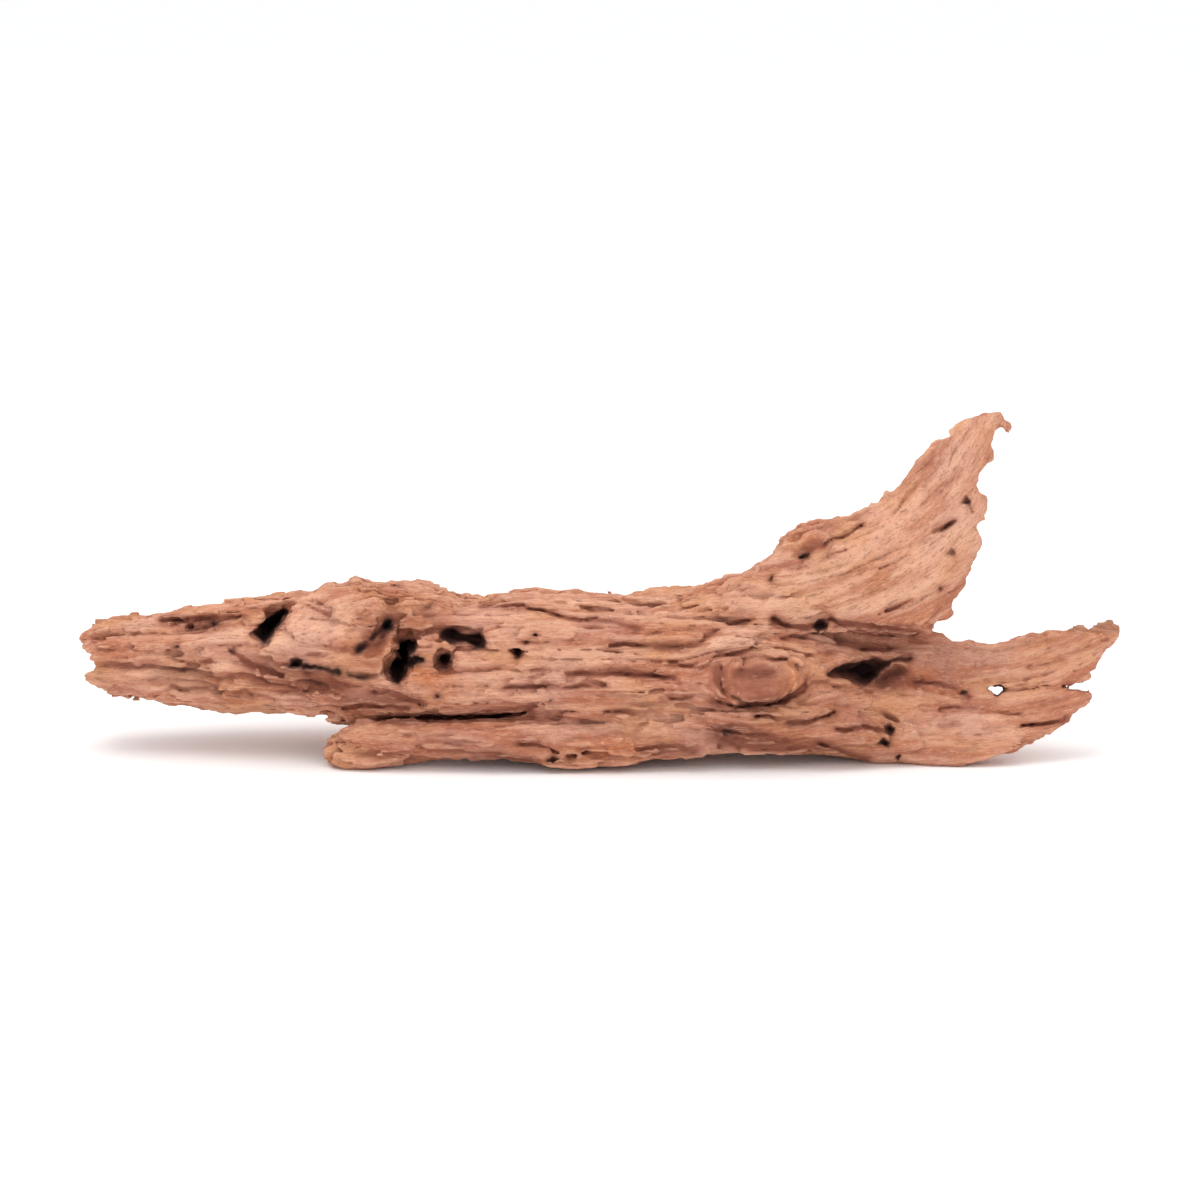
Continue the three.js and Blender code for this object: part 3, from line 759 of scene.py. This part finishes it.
def neighbours(mesh):
    """The pairs of faces that share an edge."""
    edges = read_list(mesh.loops, "edge_index", np.int32)
    owner = np.repeat(np.arange(len(mesh.polygons)), read_list(mesh.polygons, "loop_total", np.int32))
    order = np.argsort(edges, kind="stable")
    edges, owner = edges[order], owner[order]
    shared = np.nonzero(edges[1:] == edges[:-1])[0]
    return owner[shared], owner[shared + 1]


def counted(first, second, labels, count):
    """How many neighbours of each face have each label."""
    votes = np.bincount(first * count + labels[second], minlength=len(labels) * count)
    votes += np.bincount(second * count + labels[first], minlength=len(labels) * count)
    return votes.reshape(-1, count)


def connected(first, second, labels):
    """A number for each patch of joined faces with one label."""
    same = labels[first] == labels[second]
    first, second = first[same], second[same]
    patch_of = np.arange(len(labels))
    while True:
        lowest_of = patch_of.copy()
        np.minimum.at(lowest_of, first, patch_of[second])
        np.minimum.at(lowest_of, second, patch_of[first])
        lowest_of = np.minimum(lowest_of, lowest_of[patch_of])
        lowest_of = lowest_of[lowest_of]
        if (lowest_of == patch_of).all():
            return np.unique(patch_of, return_inverse=True)[1]
        patch_of = lowest_of


def packed(widths, heights):
    """Where each sheet goes in a strip MAP_CELLS wide, and how high the strip gets."""
    skyline = np.zeros(MAP_CELLS, np.int32)
    corners = np.zeros((len(widths), 2), np.int32)
    for sheet in np.argsort(-heights * 4096 - widths, kind="stable"):
        windows = np.lib.stride_tricks.sliding_window_view(skyline, widths[sheet])
        tops = windows.max(1)
        left = int(tops.argmin())
        corners[sheet] = left, tops[left]
        skyline[left : left + widths[sheet]] = tops[left] + heights[sheet]
    return corners, int(skyline.max())


mesh = wood.data
centres = read_list(mesh.polygons, "center", np.float32, 3) * 1000
face_normals = read_list(mesh.polygons, "normal", np.float32, 3)
first, second = neighbours(mesh)
towards_view = np.array([view[0] for view in VIEWS], np.float32)
seen_by = face_normals @ towards_view.T
at = (centres - start) / VOXEL
smooth_volume = softened(clipped, 4)
lean_of = np.stack(
    [
        sampled(smooth_volume, at + 2 * axis) - sampled(smooth_volume, at - 2 * axis)
        for axis in np.eye(3)
    ],
    axis=1,
)
lean_of /= np.maximum(np.linalg.norm(lean_of, axis=1, keepdims=True), 1e-6)
lean_to = lean_of @ towards_view.T
lean_to[:, :2] *= 1.2
hidden = seen_by < 0.08
labels = (lean_to - 4 * hidden).argmax(1)
for _ in range(8):
    labels = (counted(first, second, labels, SIDES) + 0.9 * lean_to - 4 * hidden).argmax(1)
on_prong = (centres[:, 0] < -24) & (centres[:, 2] < 20) & (centres[:, 1] < -8)
labels = labels + SIDES * on_prong
for _ in range(3):
    sheets = connected(first, second, labels)
    behind = np.zeros(len(labels), bool)
    for view, (towards, across_map, up_map) in enumerate(VIEWS):
        chosen = np.nonzero(labels % SIDES == view)[0]
        cell_u = np.floor(centres[chosen] @ np.array(across_map) / GRID_CELL).astype(np.int64)
        cell_v = np.floor(centres[chosen] @ np.array(up_map) / GRID_CELL).astype(np.int64)
        key = (sheets[chosen] * GRID_WIDTH + cell_u + GRID_WIDTH // 2) * GRID_WIDTH
        key += cell_v + GRID_WIDTH // 2
        cells, which = np.unique(key, return_inverse=True)
        nearest = np.full(len(cells), -1e9)
        height_of = centres[chosen] @ np.array(towards, float)
        np.maximum.at(nearest, which, height_of)
        behind[chosen] = height_of < nearest[which] - LAYER_GAP
    labels = np.where(behind, labels + 2 * SIDES, labels)
for _ in range(6):
    sheets = connected(first, second, labels)
    small = np.bincount(sheets)[sheets] < FEWEST_FACES
    if not small.any():
        break
    votes = counted(first, second, labels, int(labels.max()) + 1)
    votes[np.arange(len(labels)), labels] = 0
    labels = np.where(small & (votes.max(1) > 0), votes.argmax(1), labels)
sheets = connected(first, second, labels)

corner_points = read_points(mesh)[read_list(mesh.loops, "vertex_index", np.int32)]
sheet_of_corner = np.repeat(sheets, read_list(mesh.polygons, "loop_total", np.int32))
view_of_corner = np.repeat(labels % SIDES, read_list(mesh.polygons, "loop_total", np.int32))
flat = np.empty((len(corner_points), 2), np.float32)
for view, (towards, across_map, up_map) in enumerate(VIEWS):
    chosen = view_of_corner == view
    flat[chosen] = corner_points[chosen] @ np.array([across_map, up_map], np.float32).T
least = np.full((sheets.max() + 1, 2), 1e9, np.float32)
most = -least
np.minimum.at(least, sheet_of_corner, flat)
np.maximum.at(most, sheet_of_corner, flat)
cell_size = FINEST_CELL
while True:
    spans = np.ceil((most - least) / cell_size).astype(np.int32) + 3
    corners, height_used = packed(spans[:, 0], spans[:, 1])
    if height_used <= MAP_CELLS:
        break
    cell_size *= 1.02
flat = (flat - least[sheet_of_corner]) / cell_size + corners[sheet_of_corner] + 1.5
layout = mesh.uv_layers.new(name="OFBake")
layout.data.foreach_set("uv", (flat / MAP_CELLS).astype(np.float32).ravel())

# --- The driftwood: the weathered finish ----------------------------------------------------------
# Bare wood, washed and dried till its face is a pale reddish tan, with darker winter rings between,
# and near black in the cracks and holes, where their shade is painted into the colour, as is light on
# ridges and ledges.


class Shade:
    """A value in the material's node tree that takes part in arithmetic."""

    def __init__(self, tree, socket=None):
        self.tree = tree
        self.socket = socket

    def node(self, kind, values, output=0, **settings):
        made = self.tree.nodes.new(kind)
        for name, value in settings.items():
            setattr(made, name, value)
        for name, value in values.items():
            if isinstance(value, Shade):
                self.tree.links.new(value.socket, made.inputs[name])
            else:
                made.inputs[name].default_value = value
        return Shade(self.tree, made.outputs[output])

    def maths(self, operation, *values):
        return self.node("ShaderNodeMath", dict(enumerate(values)), operation=operation)

    def __add__(self, other):
        return self.maths("ADD", self, other)

    def __sub__(self, other):
        return self.maths("SUBTRACT", self, other)

    def __rsub__(self, other):
        return self.maths("SUBTRACT", other, self)

    def __mul__(self, other):
        return self.maths("MULTIPLY", self, other)

    __radd__ = __add__
    __rmul__ = __mul__

    def rise(self, low, high):
        """0 below low, 1 above high, smooth between."""
        limits = {"Value": self, "From Min": low, "From Max": high}
        return self.node("ShaderNodeMapRange", limits, interpolation_type="SMOOTHSTEP")

    def between(self, first, second):
        """A colour this far from the first to the second."""
        made = self.tree.nodes.new("ShaderNodeMix")
        made.data_type = "RGBA"
        for socket, value in zip([made.inputs[0], made.inputs[6], made.inputs[7]], (self, first, second)):
            if isinstance(value, Shade):
                self.tree.links.new(value.socket, socket)
            else:
                socket.default_value = value
        return Shade(self.tree, made.outputs[2])


finish = bpy.data.materials.new("weathered_wood")
finish.use_nodes = True
finish.node_tree.nodes.clear()
made = Shade(finish.node_tree)


def reading(name, output="Fac"):
    """The value that the surface keeps under the name."""
    return made.node("ShaderNodeAttribute", {}, output, attribute_name=name)


grain = reading("grain", "Vector")


def streaks(length, width, detail, seed):
    """Noise drawn out along the grain, from 0 to 1."""
    stretched = made.node(
        "ShaderNodeVectorMath",
        {0: grain, 1: (1 / length, 1 / width, 1 / width), 2: (seed, 3.7 * seed, 0)},
        operation="MULTIPLY_ADD",
    )
    settings = {"Vector": stretched, "Scale": 1.0, "Detail": detail, "Roughness": 0.6}
    return made.node("ShaderNodeTexNoise", settings)


proud, sunk, carved_in = reading("proud"), reading("sunk"), reading("carved")
read_tone_and_shading, read_orange, painted_hole_shade = reading("tone_and_shading"), reading("orange_share"), reading("hole_shade")
fine = streaks(12, 0.6, 3, 1)
strand = streaks(24, 1.9, 3, 2)
band = streaks(50, 7, 2, 3)
patch = streaks(30, 18, 2, 4)
blotch = streaks(6, 3.2, 3, 5)
fleck = streaks(2.6, 0.9, 3, 6)

MID = (0.525, 0.216, 0.132, 1)
PALE = (0.810, 0.446, 0.300, 1)
OCHRE = (0.660, 0.315, 0.145, 1)
RUST = (0.390, 0.112, 0.052, 1)
MAUVE = (0.560, 0.300, 0.245, 1)
AMBER = (0.530, 0.170, 0.070, 1)
BROWN = (0.210, 0.064, 0.040, 1)
SHADE_BLACK = (0.014, 0.005, 0.006, 1)

# The wood's lightness from its grain and its tone, which carries painted light on ledges and bumps.
light = 0.26 * strand + 0.2 * band + 0.18 * fine + 0.16 * blotch + 0.2 * fleck + 0.17 * read_tone_and_shading
colour = light.rise(0.42, 0.62).between(MID, PALE)
colour = (patch.rise(0.5, 0.66) * 0.5).between(colour, OCHRE)
colour = ((1 - patch).rise(0.5, 0.66) * 0.36).between(colour, MAUVE)
colour = ((1 - band).rise(0.48, 0.64) * 0.5).between(colour, RUST)
colour = (read_orange * 0.75 * blotch.rise(0.3, 0.52)).between(colour, AMBER)
# Browner where the tone is low: the wood's own darker patches, such as the knot, and painted shade in
# hollows, under ledges and along the cracks and holes.
colour = ((0 - read_tone_and_shading).rise(0.05, 1.1) * 0.8).between(colour, BROWN)
colour = (strand.rise(0.53, 0.66) * 0.33).between(colour, BROWN)
colour = (fleck.rise(0.54, 0.68) * 0.42).between(colour, BROWN)
colour = ((1 - fleck).rise(0.54, 0.66) * 0.45 * (1 + read_tone_and_shading).rise(0.3, 1)).between(colour, PALE)
# Painted light and shade: paler in streaks on the ridges that stand proud, browner in the hollows between.
colour = (proud.rise(0.1, 0.8) * 0.45 * fine.rise(0.35, 0.6)).between(colour, PALE)
colour = ((0 - proud).rise(0.05, 0.8) * 0.46).between(colour, BROWN)
# Painted shade: browner and then black the deeper the wood lies below the blank and the more sunk it is
# among its neighbours, and black inside the holes.
colour = (carved_in.rise(1.8, 4.5) * 0.5).between(colour, BROWN)
colour = (sunk.rise(1.2, 2.9) * 0.72).between(colour, SHADE_BLACK)
colour = (carved_in.rise(4.2, 6.6) * 0.9).between(colour, SHADE_BLACK)
colour = (painted_hole_shade * 0.95).between(colour, SHADE_BLACK)

height = 0.45 * fine + 0.6 * strand + 0.4 * blotch + 0.5 * fleck
bump = made.node("ShaderNodeBump", {"Height": height, "Strength": 0.9, "Distance": 0.0016}, output="Normal")
shader = finish.node_tree.nodes.new("ShaderNodeBsdfPrincipled")
finish.node_tree.links.new(colour.socket, shader.inputs["Base Color"])
finish.node_tree.links.new(bump.socket, shader.inputs["Normal"])
shader.inputs["Roughness"].default_value = 0.85
shader.inputs["Specular IOR Level"].default_value = 0.2
out = finish.node_tree.nodes.new("ShaderNodeOutputMaterial")
finish.node_tree.links.new(shader.outputs["BSDF"], out.inputs["Surface"])
wood.data.materials.clear()
wood.data.materials.append(finish)
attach(wood, "root")
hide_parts("driftwood")

# --- The lights -----------------------------------------------------------------------------------
# A white room with a wide soft lamp overhead and a weaker one in front, low enough to open the shadows.
world = bpy.data.worlds.new("studio")
bpy.context.scene.world = world
world.use_nodes = True
world.node_tree.nodes["Background"].inputs["Color"].default_value = (0.985, 0.99, 1, 1)
world.node_tree.nodes["Background"].inputs["Strength"].default_value = 1.03


def lamp(name, power, across, place, aim):
    """A square lamp that faces the point it is aimed at."""
    data = bpy.data.lights.new(name, "AREA")
    data.shape = "SQUARE"
    data.size = across
    data.energy = power
    data.color = (1, 0.96, 0.92)
    made = bpy.data.objects.new(name, data)
    bpy.context.collection.objects.link(made)
    made.location = place
    made.rotation_euler = (Vector(aim) - Vector(place)).to_track_quat("-Z", "Y").to_euler()


lamp("overhead", 9, 1.1, (-0.25, -0.15, 1.5), (0, 0, 0.05))
lamp("front", 1.8, 1.0, (0.3, -1.6, 0.9), (0, 0, 0.05))

# --- The camera -----------------------------------------------------------------------------------
# It stands in front of the piece and a little above, and looks at the middle of it.
camera_data = bpy.data.cameras.new("camera")
camera_data.lens = 100
camera_data.sensor_width = 36
camera = bpy.data.objects.new("camera", camera_data)
bpy.context.collection.objects.link(camera)
aim = Vector(VIEW_AIM) / 1000
sight = Vector((0, math.cos(VIEW_TILT), -math.sin(VIEW_TILT)))
camera.location = aim - sight * VIEW_DISTANCE / 1000
camera.rotation_euler = sight.to_track_quat("-Z", "Y").to_euler()
bpy.context.scene.camera = camera
bpy.context.scene.view_settings.view_transform = "Standard"
